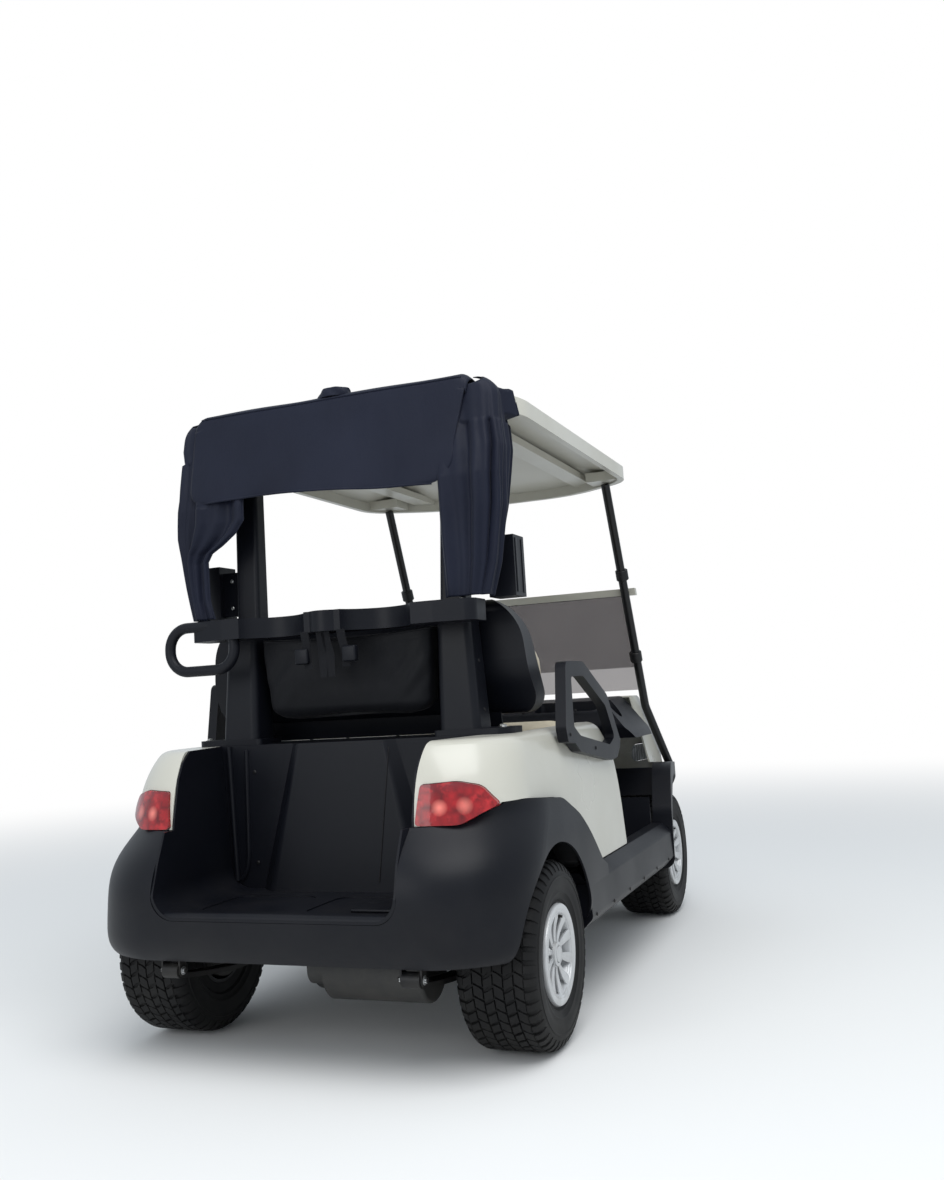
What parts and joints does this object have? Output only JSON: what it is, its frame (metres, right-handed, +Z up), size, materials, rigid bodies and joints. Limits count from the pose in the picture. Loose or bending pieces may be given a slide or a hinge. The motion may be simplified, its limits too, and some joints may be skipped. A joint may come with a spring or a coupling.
{
  "type": "golf cart",
  "caption": "Two-seat electric golf cart with a fixed roof, a folded windshield, a rear bag well with rack and basket, and a fabric bag cover.",
  "frame": {"origin": "bottom centre of the bounding box, on the ground", "axes": "-Y is the way the cart drives forward, +X its left side, +Z up"},
  "size_m": [1.2002, 2.3766, 1.7405],
  "materials": {
    "frame_aluminium": "dull, dusty",
    "spring_steel": "satin with light rust",
    "motor_housing": "satin",
    "damper_steel": "gloss",
    "black_moulding": "fine grain, slight sheen",
    "rubber_mat": "matt",
    "cream_panel": "gloss",
    "red_lens": "clear red lens",
    "clear_lens": "clear",
    "battery_case": "matt",
    "cream_vinyl": "soft vinyl",
    "strut_steel": "satin black",
    "tinted_glass": "tinted acrylic",
    "black_fabric": "coated cloth",
    "tyre_rubber": "matt",
    "wheel_silver": "bright silver"
  },
  "bodies": {
    "cart": {"frame_rails": "frame_aluminium", "leaf_springs": "spring_steel", "rear_axle": "spring_steel", "motor": "motor_housing", "dampers": "damper_steel", "front_suspension": "spring_steel", "floor_pan": "black_moulding", "floor_mat": "rubber_mat", "sills": "black_moulding", "rear_body": "black_moulding", "quarter_panels": "cream_panel", "bag_well": "black_moulding", "tail_lights": "red_lens", "seat_pod": "black_moulding", "battery_pack": "battery_case", "seat_back_cushion": "cream_vinyl", "seat_back_shell": "black_moulding", "hip_restraints": "black_moulding", "rear_struts": "black_moulding", "front_struts": "strut_steel", "roof": "cream_panel", "windshield_glass": "tinted_glass", "windshield_strip": "cream_panel", "front_bumper": "black_moulding", "front_cowl": "cream_panel", "headlights": "clear_lens", "dash": "black_moulding", "steering_column": "black_moulding", "pedals": "black_moulding", "bag_rack": "black_moulding", "bag_basket": "black_fabric", "bottle_holders": "black_moulding", "bag_cover": "black_fabric"},
    "seat_lid": {"seat_bottom_base": "black_moulding", "seat_bottom_cushion": "cream_vinyl"},
    "steering": {"steering_wheel": "black_moulding"},
    "rack": {"steering_rods": "spring_steel"},
    "knuckle_left": {"knuckle_left": "spring_steel"},
    "knuckle_right": {"knuckle_right": "spring_steel"},
    "wheel_front_left": {"tyre_front_left": "tyre_rubber", "rim_front_left": "wheel_silver"},
    "wheel_front_right": {"tyre_front_right": "tyre_rubber", "rim_front_right": "wheel_silver"},
    "wheel_rear_left": {"tyre_rear_left": "tyre_rubber", "rim_rear_left": "wheel_silver"},
    "wheel_rear_right": {"tyre_rear_right": "tyre_rubber", "rim_rear_right": "wheel_silver"}
  },
  "joints": [
    {"name": "steering_turn", "type": "hinge", "parent": "cart", "child": "steering", "pos_m": [0.245, -0.4168, 0.7826], "axis": [0, 0.6198, 0.7848], "range_deg": [-300, 300]},
    {"name": "rack_slide", "type": "slide", "parent": "cart", "child": "rack", "axis": [1, 0, 0], "range_m": [-0.042, 0.042]},
    {"name": "steer_left", "type": "hinge", "parent": "cart", "child": "knuckle_left", "pos_m": [0.34, -0.874, 0.2285], "axis": [0, 0, 1], "range_deg": [-25, 25]},
    {"name": "steer_right", "type": "hinge", "parent": "cart", "child": "knuckle_right", "pos_m": [-0.34, -0.874, 0.2285], "axis": [0, 0, 1], "range_deg": [-25, 25]},
    {"name": "spin_front_left", "type": "hinge", "parent": "knuckle_left", "child": "wheel_front_left", "pos_m": [0.438, -0.874, 0.2285], "axis": [1, 0, 0], "continuous": true},
    {"name": "spin_front_right", "type": "hinge", "parent": "knuckle_right", "child": "wheel_front_right", "pos_m": [-0.438, -0.874, 0.2285], "axis": [1, 0, 0], "continuous": true},
    {"name": "spin_rear_left", "type": "hinge", "parent": "cart", "child": "wheel_rear_left", "pos_m": [0.489, 0.79, 0.2285], "axis": [1, 0, 0], "continuous": true},
    {"name": "spin_rear_right", "type": "hinge", "parent": "cart", "child": "wheel_rear_right", "pos_m": [-0.489, 0.79, 0.2285], "axis": [1, 0, 0], "continuous": true},
    {"name": "seat_lift", "type": "hinge", "parent": "cart", "child": "seat_lid", "pos_m": [0, 0.46, 0.6663], "axis": [-1, 0, 0], "range_deg": [0, 45]}
  ],
  "couplings": [
    {"joint": "rack_slide", "follows": "steering_turn", "m_per_rad": -0.008},
    {"joint": "steer_left", "follows": "steering_turn", "ratio": 0.083333},
    {"joint": "steer_right", "follows": "steering_turn", "ratio": 0.083333}
  ]
}
